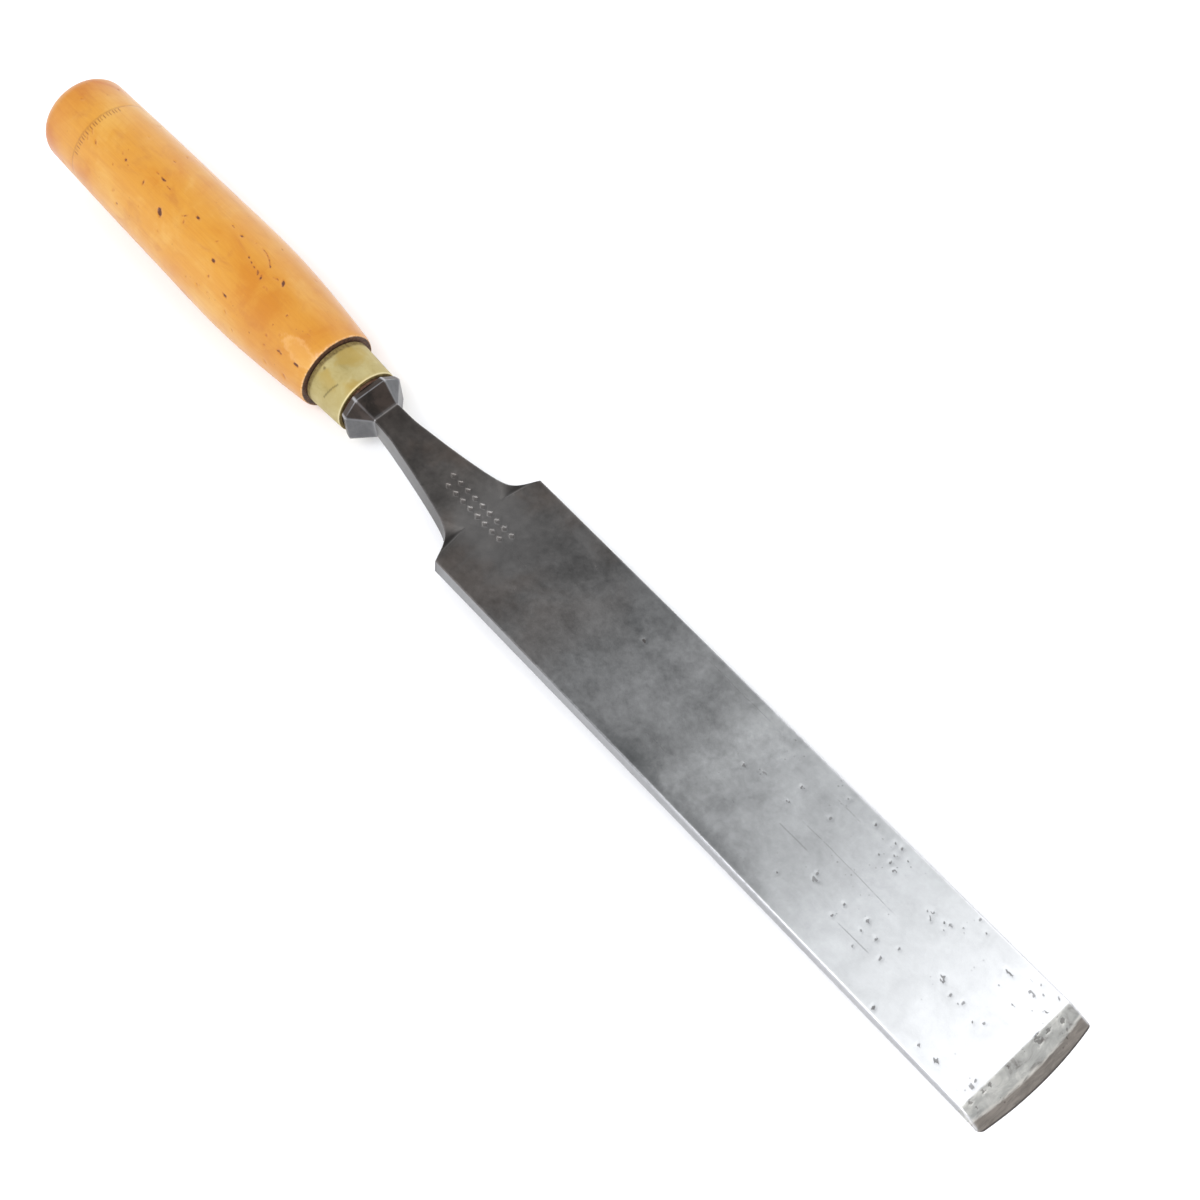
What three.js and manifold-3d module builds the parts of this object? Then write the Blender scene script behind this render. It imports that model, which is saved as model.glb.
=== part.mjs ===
// Tanged paring chisel: a steel forging (blade, shoulders, neck, octagonal bolster and tang),
// a brass ferrule and a turned boxwood handle.
// Millimetres, +Z up. The tool lies at rest on its handle's belly and its cutting edge.
//
// Everything is drawn in the tool's own straight frame: X runs along the tool from the
// shoulders (X = 0) to the cutting edge, Y across the blade, and the blade's flat back is
// Z = 0. The last step tips that frame into the resting position.
import * as THREE from 'three';
import { ConvexGeometry } from 'three/addons/geometries/ConvexGeometry.js';
import { mergeVertices } from 'three/addons/utils/BufferGeometryUtils.js';
import Module from 'manifold-3d';

// ---------------------------------------------------------------- driving dimensions
// Blade
const BLADE_HALF_WIDTH = 19.05; // at the flat back; the blade is parallel sided
const SIDE_DRAFT = 0.139; // the sides lean in by this much per mm of height
const SHOULDER_THICKNESS = 5.15;
const BEVEL_TOP_X = 191.3; // straight upper edge of the ground bevel
const BEVEL_THICKNESS = 2.92; // blade thickness there
const EDGE_X = 199.85; // middle of the cutting edge
const EDGE_RADIUS = 115; // the cutting edge is slightly cambered
// Straight chords that stand for the camber, counted as if they went round a full circle. The
// middle one is broad, so the tool rests steadily on its two ends and on the handle's belly.
const CAMBER_FLATS = 22;
const GROUND_BEVEL_END_X = 203; // where the ground bevel's plane would meet the back
const HONED_ANGLE = 27.5; // degrees, of the narrow honed bevel at the edge
const EDGE_CORNERS = [0.9, 1.5]; // corner rounding on the +Y and the -Y side
const OUTLINE_MARGIN = 0.02; // the plan outline stands this far outside the honed cone's foot

// Neck: it rises from the shoulders to the bolster, at stations given as
// [x, half width at the top, half width at the flat back]
const NECK_RISE = 0.078;
const NECK_STATIONS = [
  [-43.0, 4.15, 4.2],
  [-36.3, 4.4, 5.1],
  [-30.75, 5.2, 6.0],
  [-22.8, 6.45, 7.4],
  [-15.2, 7.9, 8.9],
  [-10.4, 8.95, 10.0],
  [-7.3, 9.85, 10.9],
  [-4.8, 11.1, 12.0],
  [-3.6, 12.3, 13.1],
  [-2.5, 13.8, 14.6],
  [-1.2, 16.1, 16.9],
  [0, BLADE_HALF_WIDTH - SIDE_DRAFT * SHOULDER_THICKNESS, BLADE_HALF_WIDTH],
];

// Hollow ground into each shoulder. It drops steeply from a straight line across the shoulder,
// then rises slowly along the neck; it widens and deepens evenly from nothing at its inner end.
const HOLLOW_CORNER = [0, 18.3];
const HOLLOW_INNER = [-2.2, 6.2];
const HOLLOW_PROFILE_Y = 12; // the profile below is the hollow's section here
const HOLLOW_PROFILE = [ // [distance behind the line, depth]
  [0.4, 0.8],
  [0.9, 1.3],
  [4, 0.85],
  [12, 0],
];

// Bolster: an octagonal collar with facets running down to the neck
const AXIS_Z = 3.1; // the handle's axis above the blade's back
const BOLSTER_BACK_X = -51.05;
const BOLSTER_RIM_X = -49.2;
const BOLSTER_HALF_WIDTH = 9.65;
const BOLSTER_HALF_HEIGHT = 9.4;
const BOLSTER_TOP = 5.0; // half width of the top and bottom facets
const BOLSTER_SIDE = 5.2; // half height of the two side facets
const BOLSTER_BACK_SCALE = 0.96;

// Tang: a tapered square spike inside the handle
const TANG_ROOT = 4.1; // half width at the bolster
const TANG_TIP = 1.4; // half width at the far end
const TANG_TIP_X = -119;

// Ferrule
const FERRULE_BACK_X = -65.7;
const FERRULE_FRONT_X = -52.05;
const FERRULE_BACK_RADIUS = 10.7;
const FERRULE_FRONT_RADIUS = 10.08;
const FERRULE_WALL = 1.1;
const FERRULE_ROUNDING = 0.3;

// Handle: the barrel is listed as [distance behind the front step, radius]
const HANDLE_STEP_X = -66.0;
const TENON_FRONT_X = -51.35; // the tenon stands just proud of the ferrule
const BARREL = [
  [0, 12.1],
  [0.35, 12.4],
  [4, 12.95],
  [9, 13.55],
  [15, 14.15],
  [21, 14.7],
  [28, 15.2],
  [35, 15.55],
  [43, 15.68],
  [52, 15.62],
  [62, 15.42],
  [90, 14.96],
  [121, 14.3],
];
const DOME_DEPTH = 6.9; // the butt's rounded end beyond the barrel
const DOME_POWER = 2.4; // 2 would be an ellipse; more is flatter with a tighter shoulder
const DOME_STEPS = 9;

const GAP = 0.3; // clearance between touching pieces
const ROUND_SEGMENTS = 64;

// ---------------------------------------------------------------- solid helpers
const wasm = await Module();
wasm.setup();

// Closed three.js geometry to a manifold solid.
function solid(geometry) {
  const bare = geometry.clone();
  bare.deleteAttribute('normal');
  bare.deleteAttribute('uv');
  const merged = mergeVertices(bare, 1e-5);
  return new wasm.Manifold(
    new wasm.Mesh({
      numProp: 3,
      vertProperties: new Float32Array(merged.attributes.position.array),
      triVerts: new Uint32Array(merged.index.array),
    }),
  );
}

// Manifold solid back to a flat-shaded three.js geometry.
function geometryOf(body) {
  const mesh = body.getMesh();
  const geometry = new THREE.BufferGeometry();
  geometry.setAttribute('position', new THREE.BufferAttribute(mesh.vertProperties, 3));
  geometry.setIndex(new THREE.BufferAttribute(mesh.triVerts, 1));
  geometry.computeVertexNormals();
  return geometry;
}

// Convex solid around a list of [x, y, z] points.
function hull(points) {
  return solid(new ConvexGeometry(points.map((p) => new THREE.Vector3(...p))));
}

// Solid of revolution about the X axis at height AXIS_Z, from [x, radius] points. Its flats touch
// the true round, and one of them faces straight down, so that the handle's belly lies steady.
function turned(profile) {
  const halfTurn = Math.PI / ROUND_SEGMENTS;
  const corner = 1 / Math.cos(halfTurn);
  const points = profile.map(([x, radius]) => new THREE.Vector2(radius * corner, x));
  const geometry = new THREE.LatheGeometry(points, ROUND_SEGMENTS, halfTurn);
  geometry.rotateZ(-Math.PI / 2);
  geometry.translate(0, 0, AXIS_Z);
  return solid(geometry);
}

// Corners of a square section centred on the handle's axis.
function squareSection(x, half) {
  const corners = [[-1, -1], [1, -1], [1, 1], [-1, 1]];
  return corners.map(([sy, sz]) => [x, sy * half, AXIS_Z + sz * half]);
}

// ---------------------------------------------------------------- forging
// Height of the neck's top surface above the blade's back, behind the shoulders.
function neckTop(x) {
  return SHOULDER_THICKNESS - NECK_RISE * x;
}

// Corners of a blade or neck section: wider at the flat back than at the top.
function bladeSection([x, halfTop, halfBottom, height = neckTop(x)]) {
  return [
    [x, -halfBottom, 0],
    [x, halfBottom, 0],
    [x, halfTop, height],
    [x, -halfTop, height],
  ];
}

function octagonSection(x, scale) {
  const corners = [];
  for (const sy of [-scale, scale]) {
    for (const sz of [-scale, scale]) {
      corners.push([x, sy * BOLSTER_HALF_WIDTH, AXIS_Z + sz * BOLSTER_SIDE]);
      corners.push([x, sy * BOLSTER_TOP, AXIS_Z + sz * BOLSTER_HALF_HEIGHT]);
    }
  }
  return corners;
}

// Place of the cambered edge at y, on the chord that touches the true arc nearest to it.
function edgeAt(y) {
  const step = (2 * Math.PI) / CAMBER_FLATS;
  const facing = Math.round(Math.asin(y / EDGE_RADIUS) / step) * step;
  const reach = (EDGE_RADIUS - y * Math.sin(facing)) / Math.cos(facing);
  return EDGE_X - EDGE_RADIUS + reach + OUTLINE_MARGIN;
}

// Plan outline of the blade, with a cambered edge and rounded corners, as a tall prism. It stands
// just outside the honed cone, which makes the edge itself.
function bladeOutline() {
  const half = BLADE_HALF_WIDTH + 0.05;
  const middle = EDGE_RADIUS * Math.tan(Math.PI / CAMBER_FLATS);
  const [plusCorner, minusCorner] = EDGE_CORNERS;
  const cornerX = edgeAt(half);
  const start = minusCorner - half;
  const end = half - plusCorner;
  const shape = new THREE.Shape();
  shape.moveTo(-10, -half);
  shape.lineTo(cornerX - minusCorner, -half);
  shape.quadraticCurveTo(cornerX, -half, edgeAt(start), start);
  for (const y of [-middle, middle, end]) {
    shape.lineTo(edgeAt(y), y);
  }
  shape.quadraticCurveTo(cornerX, half, cornerX - plusCorner, half);
  shape.lineTo(-10, half);
  shape.closePath();
  const prism = new THREE.ExtrudeGeometry(shape, {
    depth: 20,
    bevelEnabled: false,
    curveSegments: 6,
  });
  prism.translate(0, 0, -5);
  return solid(prism);
}

// Everything outside the honed cone, around the cutting edge.
function honedWaste() {
  const slope = Math.tan(THREE.MathUtils.degToRad(HONED_ANGLE));
  const foot = EDGE_RADIUS + 1 / slope;
  const tip = EDGE_RADIUS - 6 / slope;
  const halfTurn = Math.PI / CAMBER_FLATS;
  const corner = 1 / Math.cos(halfTurn);
  const outline = [[0, -1], [foot, -1], [tip, 6], [0, 6]];
  const profile = outline.map(([r, z]) => new THREE.Vector2(r * corner, z));
  const cone = new THREE.LatheGeometry(profile, CAMBER_FLATS, Math.PI / 2 + halfTurn);
  cone.rotateX(Math.PI / 2);
  cone.translate(EDGE_X - EDGE_RADIUS, 0, 0);
  const block = new THREE.BoxGeometry(20, 60, 6);
  block.translate(BEVEL_TOP_X + 11, 0, 2.5);
  return solid(block).subtract(solid(cone));
}

// Blade from the shoulders to the cutting edge.
function blade() {
  const halfTop = (height) => BLADE_HALF_WIDTH - SIDE_DRAFT * height;
  const station = (x, height) => [x, halfTop(height), BLADE_HALF_WIDTH, height];
  const stations = [
    station(0, SHOULDER_THICKNESS),
    station(BEVEL_TOP_X, BEVEL_THICKNESS),
    station(GROUND_BEVEL_END_X, 0),
  ];
  const body = hull(stations.flatMap(bladeSection));
  return body.intersect(bladeOutline()).subtract(honedWaste());
}

// Hollow ground into one shoulder; side is +1 or -1.
function shoulderHollow(side) {
  const place = (x, y, drop = 0) => [x, side * y, neckTop(x) - drop];
  const [innerX, innerY] = HOLLOW_INNER;
  const [cornerX, cornerY] = HOLLOW_CORNER;
  const grown = (cornerY - innerY) / (HOLLOW_PROFILE_Y - innerY);
  const low = [
    place(innerX, innerY),
    place(cornerX, cornerY),
    ...HOLLOW_PROFILE.map(([back, depth]) => place(cornerX - back * grown, cornerY, depth * grown)),
  ];
  const high = low.map(([x, y]) => [x, y, SHOULDER_THICKNESS + 8]);
  return hull([...low, ...high]);
}

function forging() {
  const parts = [];
  const sections = NECK_STATIONS.map(bladeSection);
  for (let i = 1; i < sections.length; i += 1) {
    parts.push(hull([...sections[i - 1], ...sections[i]]));
  }
  const rim = octagonSection(BOLSTER_RIM_X, 1);
  parts.push(hull([...rim, ...sections[0]]));
  parts.push(hull([...octagonSection(BOLSTER_BACK_X, BOLSTER_BACK_SCALE), ...rim]));
  const tang = [squareSection(BOLSTER_BACK_X, TANG_ROOT), squareSection(TANG_TIP_X, TANG_TIP)];
  parts.push(hull(tang.flat()));
  let body = blade();
  for (const part of parts) {
    body = body.add(part);
  }
  for (const side of [-1, 1]) {
    body = body.subtract(shoulderHollow(side));
  }
  return body;
}

// ---------------------------------------------------------------- ferrule
function ferrule() {
  const back = FERRULE_BACK_X;
  const front = FERRULE_FRONT_X;
  const r = FERRULE_ROUNDING;
  const profile = [
    [back, FERRULE_BACK_RADIUS - FERRULE_WALL],
    [back, FERRULE_BACK_RADIUS - r],
    [back + r, FERRULE_BACK_RADIUS],
    [front - r, FERRULE_FRONT_RADIUS],
    [front, FERRULE_FRONT_RADIUS - r],
    [front, FERRULE_FRONT_RADIUS - FERRULE_WALL],
    [back, FERRULE_BACK_RADIUS - FERRULE_WALL],
  ];
  return turned(profile);
}

// ---------------------------------------------------------------- handle
function handle() {
  const [barrelLength, barrelEnd] = BARREL[BARREL.length - 1];
  const domeX = HANDLE_STEP_X - barrelLength;
  const profile = [[domeX - DOME_DEPTH, 0]];
  for (let i = 1; i < DOME_STEPS; i += 1) {
    const angle = (Math.PI / 2) * (i / DOME_STEPS);
    const out = Math.sin(angle) ** (2 / DOME_POWER);
    const along = Math.cos(angle) ** (2 / DOME_POWER);
    profile.push([domeX - DOME_DEPTH * along, barrelEnd * out]);
  }
  for (const [distance, radius] of BARREL.toReversed()) {
    profile.push([HANDLE_STEP_X - distance, radius]);
  }
  const wallGap = FERRULE_WALL + GAP;
  profile.push([HANDLE_STEP_X, FERRULE_BACK_RADIUS - wallGap]);
  profile.push([TENON_FRONT_X, FERRULE_FRONT_RADIUS - wallGap]);
  profile.push([TENON_FRONT_X, 0]);

  const mouthX = TENON_FRONT_X + 1;
  const endX = TANG_TIP_X - GAP;
  const slope = (TANG_ROOT - TANG_TIP) / (BOLSTER_BACK_X - TANG_TIP_X);
  const halfAt = (x) => TANG_ROOT + slope * (x - BOLSTER_BACK_X) + GAP;
  const socket = hull([...squareSection(mouthX, halfAt(mouthX)), ...squareSection(endX, halfAt(endX))]);
  return turned(profile).subtract(socket);
}

// ---------------------------------------------------------------- assembly
function piece(name, body, material) {
  const mesh = new THREE.Mesh(geometryOf(body), new THREE.MeshStandardMaterial(material));
  mesh.name = name;
  return mesh;
}

const tool = new THREE.Group();
tool.add(piece('blade_forging', forging(), { color: 0x7d7b79, roughness: 0.38, metalness: 1 }));
tool.add(piece('ferrule', ferrule(), { color: 0xb9a765, roughness: 0.35, metalness: 1 }));
tool.add(piece('handle', handle(), { color: 0xe39a45, roughness: 0.3, metalness: 0 }));

// Resting tilt: the steepest line from the cutting edge to any station of the barrel's
// underside is level, so both the edge and the barrel touch what the tool lies on.
const restTilts = BARREL.map(([distance, radius]) => {
  const run = EDGE_X - (HANDLE_STEP_X - distance);
  return Math.atan2(radius - AXIS_Z, run);
});
tool.rotation.y = Math.max(...restTilts);

// Origin under the middle of the tool, on the surface that it lies on.
const group = new THREE.Group();
group.add(tool);
group.updateMatrixWorld(true);
const bounds = new THREE.Box3().setFromObject(tool, true);
const centre = bounds.getCenter(new THREE.Vector3());
tool.position.set(-centre.x, -centre.y, -bounds.min.z);
group.updateMatrixWorld(true);

export default group;
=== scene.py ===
import math

import bpy
import numpy as np
from mathutils import Matrix, Vector


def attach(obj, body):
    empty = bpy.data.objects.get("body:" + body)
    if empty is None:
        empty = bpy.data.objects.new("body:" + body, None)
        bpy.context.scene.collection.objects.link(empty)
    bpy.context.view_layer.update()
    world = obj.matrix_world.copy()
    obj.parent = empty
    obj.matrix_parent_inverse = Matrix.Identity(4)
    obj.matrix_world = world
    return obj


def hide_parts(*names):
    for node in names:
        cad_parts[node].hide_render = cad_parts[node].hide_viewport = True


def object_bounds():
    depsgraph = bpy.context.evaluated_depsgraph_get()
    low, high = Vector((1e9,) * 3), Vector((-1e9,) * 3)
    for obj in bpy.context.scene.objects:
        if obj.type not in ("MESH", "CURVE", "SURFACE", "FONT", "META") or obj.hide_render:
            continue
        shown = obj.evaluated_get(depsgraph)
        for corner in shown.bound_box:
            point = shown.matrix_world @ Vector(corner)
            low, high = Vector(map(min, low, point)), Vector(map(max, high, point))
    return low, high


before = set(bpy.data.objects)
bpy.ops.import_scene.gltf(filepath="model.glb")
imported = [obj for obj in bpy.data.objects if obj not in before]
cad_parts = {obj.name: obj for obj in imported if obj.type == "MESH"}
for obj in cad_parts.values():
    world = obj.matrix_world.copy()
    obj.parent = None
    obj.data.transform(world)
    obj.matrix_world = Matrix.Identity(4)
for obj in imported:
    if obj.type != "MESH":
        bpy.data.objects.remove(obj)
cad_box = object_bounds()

# Looks of the paring chisel. Every shape is drawn in the tool's own straight frame, in
# millimetres: X from the shoulders (0) towards the cutting edge, Y across the blade, and the
# blade's flat back at Z = 0. to_row() tips it into the resting place of the CAD model.

# ------------------------------------------------------------------ dimensions (mm)
BLADE_HALF_WIDTH = 19.05
SIDE_DRAFT = 0.139
SHOULDER_THICKNESS = 5.15
BEVEL_TOP_X = 191.3
BEVEL_THICKNESS = 2.92
EDGE_X = 199.85
EDGE_RADIUS = 115.0
GROUND_BEVEL_END_X = 203.0
HONED_SLOPE = math.tan(math.radians(27.5))
EDGE_CORNERS = (0.9, 1.5)  # corner rounding on the +Y and the -Y side
EDGE_LAND = 0.05  # thickness left at the worn edge
EDGE_SLACK = 0.01  # keeps the edge just inside the CAD box

NECK_RISE = 0.078
NECK_STATIONS = np.array([
    [-43.0, 4.15, 4.2],
    [-36.3, 4.4, 5.1],
    [-30.75, 5.2, 6.0],
    [-22.8, 6.45, 7.4],
    [-15.2, 7.9, 8.9],
    [-10.4, 8.95, 10.0],
    [-7.3, 9.85, 10.9],
    [-4.8, 11.1, 12.0],
    [-3.6, 12.3, 13.1],
    [-2.5, 13.8, 14.6],
    [-1.2, 16.1, 16.9],
    [0.0, BLADE_HALF_WIDTH - SIDE_DRAFT * SHOULDER_THICKNESS, BLADE_HALF_WIDTH],
])  # x, half width at the top, half width at the flat back

HOLLOW_CORNER = (0.0, 18.3)
HOLLOW_INNER = (-2.2, 6.2)
HOLLOW_PROFILE_Y = 12.0
HOLLOW_PROFILE = np.array([
    [-1, 0], [0, 0], [0.9, 0.3], [2.2, 0.48], [5, 0.34], [9, 0.12], [13, 0], [15, 0],
])  # distance behind the line, depth, at HOLLOW_PROFILE_Y
HOLLOW_FADE = 6.0  # how far behind the line the painted shade in it reaches

AXIS_Z = 3.1  # height of the handle's axis
BOLSTER_BACK_X = -51.05
BOLSTER_RIM_X = -49.2
BOLSTER_HALF_WIDTH = 9.65
BOLSTER_HALF_HEIGHT = 9.4
BOLSTER_TOP = 5.0  # half width of the top and bottom facets
BOLSTER_SIDE = 5.2  # half height of the side facets
BOLSTER_BACK_SCALE = 0.96
TANG_ROOT = 4.1
TANG_TIP = 1.4
TANG_TIP_X = -119.0

FERRULE_BACK_X = -65.7
FERRULE_FRONT_X = -52.05
FERRULE_BACK_RADIUS = 10.7
FERRULE_FRONT_RADIUS = 10.08
FERRULE_WALL = 1.1
FERRULE_ROUNDING = 0.3

HANDLE_STEP_X = -66.0
TENON_FRONT_X = -51.35
BARREL = np.array([
    [0, 12.1], [0.35, 12.4], [4, 12.95], [9, 13.55], [15, 14.15], [21, 14.7], [28, 15.2],
    [35, 15.55], [43, 15.68], [52, 15.62], [62, 15.42], [90, 14.96], [121, 14.3],
])  # distance behind the front step, radius
DOME_DEPTH = 6.86
DOME_POWER = 2.4
GAP = 0.3

MM = 0.001

# ------------------------------------------------------------------ placing
TILT = max(
    math.atan2(radius - AXIS_Z, EDGE_X - (HANDLE_STEP_X - distance))
    for distance, radius in BARREL
)
ORIGIN = Vector((
    cad_box[1].x - math.cos(TILT) * EDGE_X * MM,
    (cad_box[0].y + cad_box[1].y) / 2,
    cad_box[0].z + math.sin(TILT) * EDGE_X * MM,
))
TO_ROW = Matrix.Translation(ORIGIN) @ Matrix.Rotation(TILT, 4, "Y") @ Matrix.Scale(MM, 4)


def to_row(points):
    """Tool-frame millimetres to row-frame metres."""
    m = np.array(TO_ROW)
    return np.asarray(points, float) @ m[:3, :3].T + m[:3, 3]


# ------------------------------------------------------------------ number helpers
def monotone(xs, ys, x):
    """Monotone cubic curve through (xs, ys), at x."""
    xs, ys = np.asarray(xs, float), np.asarray(ys, float)
    h = np.diff(xs)
    d = np.diff(ys) / h
    slope = np.zeros(len(xs))
    w1, w2 = 2 * h[1:] + h[:-1], h[1:] + 2 * h[:-1]
    same = d[:-1] * d[1:] > 0
    safe = np.where(same, d[:-1], 1), np.where(same, d[1:], 1)
    slope[1:-1] = np.where(same, (w1 + w2) / (w1 / safe[0] + w2 / safe[1]), 0)
    slope[0], slope[-1] = d[0], d[-1]
    i = np.clip(np.searchsorted(xs, x, side="right") - 1, 0, len(xs) - 2)
    t = (np.asarray(x, float) - xs[i]) / h[i]
    a = (1 + 2 * t) * (1 - t) ** 2 * ys[i] + t * (1 - t) ** 2 * h[i] * slope[i]
    b = t * t * (3 - 2 * t) * ys[i + 1] + t * t * (t - 1) * h[i] * slope[i + 1]
    return a + b


def smooth(a, b, x):
    t = np.clip((x - a) / (b - a), 0, 1)
    return t * t * (3 - 2 * t)


def softmin(a, b, k):
    """The lower of a and b, rounded over where they cross."""
    h = np.clip(0.5 + 0.5 * (b - a) / k, 0, 1)
    return b + (a - b) * h - k * h * (1 - h)


def waves(p, q, seed, count=7, longest=40.0):
    """Smooth noise of about -1 to 1 in two coordinates: a few sine waves."""
    rng = np.random.default_rng(seed)
    total = np.zeros(np.broadcast(p, q).shape)
    weight = 0.0
    for i in range(count):
        length = longest / 1.6**i
        angle, phase = rng.uniform(0, 2 * math.pi, 2)
        size = 0.75**i
        along = p * math.cos(angle) + q * math.sin(angle)
        total += size * np.sin(2 * math.pi * along / length + phase)
        weight += size
    return total / weight


# ------------------------------------------------------------------ mesh helper
def make_mesh(name, points, quads, ngons, attributes, sharp_angle=None):
    """One closed mesh object from tool-frame points, with float attributes on its points."""
    mesh = bpy.data.meshes.new(name)
    faces = [tuple(q) for q in quads.tolist()] + [tuple(n) for n in ngons]
    mesh.from_pydata(to_row(points).tolist(), [], faces)
    for key, values in attributes.items():
        layer = mesh.attributes.new(key, "FLOAT", "POINT")
        layer.data.foreach_set("value", np.asarray(values, np.float32).ravel())
    mesh.shade_smooth()
    if sharp_angle is not None:
        mesh.set_sharp_from_angle(angle=math.radians(sharp_angle))
    mesh.update()
    piece = bpy.data.objects.new(name, mesh)
    bpy.context.scene.collection.objects.link(piece)
    return piece


def grid_quads(rows, columns, flip=False):
    """Quads of a tube of rows of points; each row closes on itself."""
    i, j = np.meshgrid(np.arange(rows - 1), np.arange(columns), indexing="ij")
    k = (j + 1) % columns
    corners = [i * columns + j, i * columns + k, (i + 1) * columns + k, (i + 1) * columns + j]
    quads = np.stack([c.ravel() for c in corners], -1)
    return quads[:, ::-1] if flip else quads


# ------------------------------------------------------------------ forging
# Pits on the blade's upper face: x, y, length, width, turn in degrees, depth
BLADE_PITS = [
    (54, 7, 1.7, 1.2, 35, 0.14), (96.5, 2.5, 1.0, 0.9, 0, 0.08), (130, -5, 1.4, 1.1, 50, 0.08),
    (161.5, -17, 1.4, 1.1, 0, 0.1), (180, -15, 2.4, 0.8, 0, 0.11), (190, -13, 1.4, 1.1, 0, 0.14),
    (177, 13, 2.4, 0.8, 5, 0.08), (42, -11, 1.0, 0.8, 30, 0.06), (20.5, -8, 1.2, 0.9, 60, 0.06),
    (101.5, 5, 1.9, 0.7, 5, 0.05),
]
# Loose groups of small pits: x, y, half length, half width, how many
PIT_GROUPS = [
    (139, 13, 3.2, 3.2, 8), (179, -15, 4.0, 1.0, 4), (189, -12, 2.0, 1.5, 3), (127, -5, 4.0, 1.5, 3),
    (151, -6, 6.0, 4.0, 7), (158, 10, 5.0, 3.0, 7), (186, 15, 5.0, 2.5, 8), (130, 15, 4.0, 2.0, 3),
    (165, 15, 5.0, 3.0, 4), (32, 10, 3.0, 2.0, 2), (171, 3, 14.0, 13.0, 10), (120, 2, 20.0, 14.0, 8),
]
# Chips along the bevel's upper edge and on the bevel: x, y, length, width, turn, depth
BEVEL_CHIPS = [
    (192.5, 6.5, 2.4, 2.6, 20, 0.08), (192.4, 10, 1.9, 1.7, -20, 0.08), (193, 14, 2.3, 1.7, 10, 0.07),
    (195.5, 13.5, 1.4, 1.1, 0, 0.06), (196.5, 12, 1.2, 0.9, 40, 0.05), (192, -16, 1.6, 1.3, 0, 0.07),
    (192, -12, 1.3, 1.5, 0, 0.08), (192.2, -9.5, 1.6, 1.2, 0, 0.06), (196.5, -9.5, 1.6, 1.0, 0, 0.05),
    (194, -15.5, 1.2, 0.9, 0, 0.05), (192, 2, 1.1, 1.0, 0, 0.05), (192, -3.5, 1.0, 0.9, 0, 0.04),
]
# Punched ornament on the shoulders: two staggered rows of lozenges
PUNCH_PITCH = 3.0
PUNCH_LOZENGES = [(x, 1.5) for x in np.arange(-16.0, 8.5, PUNCH_PITCH)]
PUNCH_LOZENGES += [(x, -1.5) for x in np.arange(-14.5, 7.0, PUNCH_PITCH)]
PUNCH_HALF_LENGTH = 1.35
PUNCH_HALF_WIDTH = 1.05
PUNCH_DEPTH = 0.2


def edge_x(y):
    """The cutting edge's outline: cambered, with rounded corners."""
    y = np.asarray(y, float)
    x = EDGE_X - EDGE_SLACK - EDGE_RADIUS + np.sqrt(EDGE_RADIUS**2 - y**2)
    radius = np.where(y > 0, EDGE_CORNERS[0], EDGE_CORNERS[1])
    over = np.clip(np.abs(y) - (BLADE_HALF_WIDTH - radius), 0, radius)
    return x - (radius - np.sqrt(radius**2 - over**2))


def flat_height(x):
    """Height of the blade's and the neck's upper face, with no hollows or bevels."""
    blade = SHOULDER_THICKNESS + (BEVEL_THICKNESS - SHOULDER_THICKNESS) / BEVEL_TOP_X * x
    neck = SHOULDER_THICKNESS - NECK_RISE * x
    return -softmin(-blade, -neck, 0.12)


def hollow(x, y):
    """(depth, painted shade) of the hollow ground into each shoulder, below the upper face."""
    inner_x, inner_y = HOLLOW_INNER
    lean = (HOLLOW_CORNER[0] - inner_x) / (HOLLOW_CORNER[1] - inner_y)
    side = np.abs(y)
    grown = np.maximum((side - inner_y) / (HOLLOW_PROFILE_Y - inner_y), 1e-3)
    behind = inner_x + (side - inner_y) * lean - x
    reach = HOLLOW_PROFILE[-1, 0]
    place = np.clip(behind / grown, -1, reach)
    depth = np.where(side > inner_y, grown * monotone(*HOLLOW_PROFILE.T, place), 0.0)
    return depth, smooth(0.02, 0.35, depth) * np.exp(-(np.maximum(behind, 0) / HOLLOW_FADE) ** 2)


def spots(marks, x, y, reach=1.6):
    """(depth, strength, tone) of a list of oval marks at the points (x, y)."""
    depth, strength, tone = np.zeros(x.shape), np.zeros(x.shape), np.full(x.shape, 0.5)
    for mx, my, length, width, turn, deep in marks:
        near = (np.abs(x - mx) < reach * length) & (np.abs(y - my) < reach * length)
        dx, dy = x[near] - mx, y[near] - my
        c, s = math.cos(math.radians(turn)), math.sin(math.radians(turn))
        u, v = (c * dx + s * dy) / (length / 2), (c * dy - s * dx) / (width / 2)
        ragged = 0.8 * waves(x[near] * 3, y[near] * 3, 6, 4, 5.0)
        fall = 1 - smooth(0.3, 1.25, np.hypot(u, v) + ragged)
        depth[near] = np.maximum(depth[near], deep * fall)
        strength[near] = np.maximum(strength[near], fall)
        tone[near] = min(1.0, 0.2 + 6.0 * deep)
    return depth, strength, tone


def blade_pits():
    """All the pits: those placed one by one, and the groups' own, at random places."""
    rng = np.random.default_rng(17)
    pits = list(BLADE_PITS)
    for x, y, half_length, half_width, count in PIT_GROUPS:
        for _ in range(count):
            place = x + half_length * rng.uniform(-1, 1), y + half_width * rng.uniform(-1, 1)
            length = rng.uniform(0.9, 1.6)
            pits.append((*place, length, length * rng.uniform(0.55, 0.9), rng.uniform(0, 90),
                         rng.uniform(0.05, 0.09)))
    return pits


ALL_PITS = blade_pits()


def punches(x, y):
    """How far the punched ornament is sunk at (x, y), from 0 to 1."""
    sunk = np.zeros(x.shape)
    for px, py in PUNCH_LOZENGES:
        away = np.abs(x - px) / PUNCH_HALF_LENGTH + np.abs(y - py) / PUNCH_HALF_WIDTH
        sunk = np.maximum(sunk, 1 - smooth(0.45, 1.0, away))
    return sunk


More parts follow.
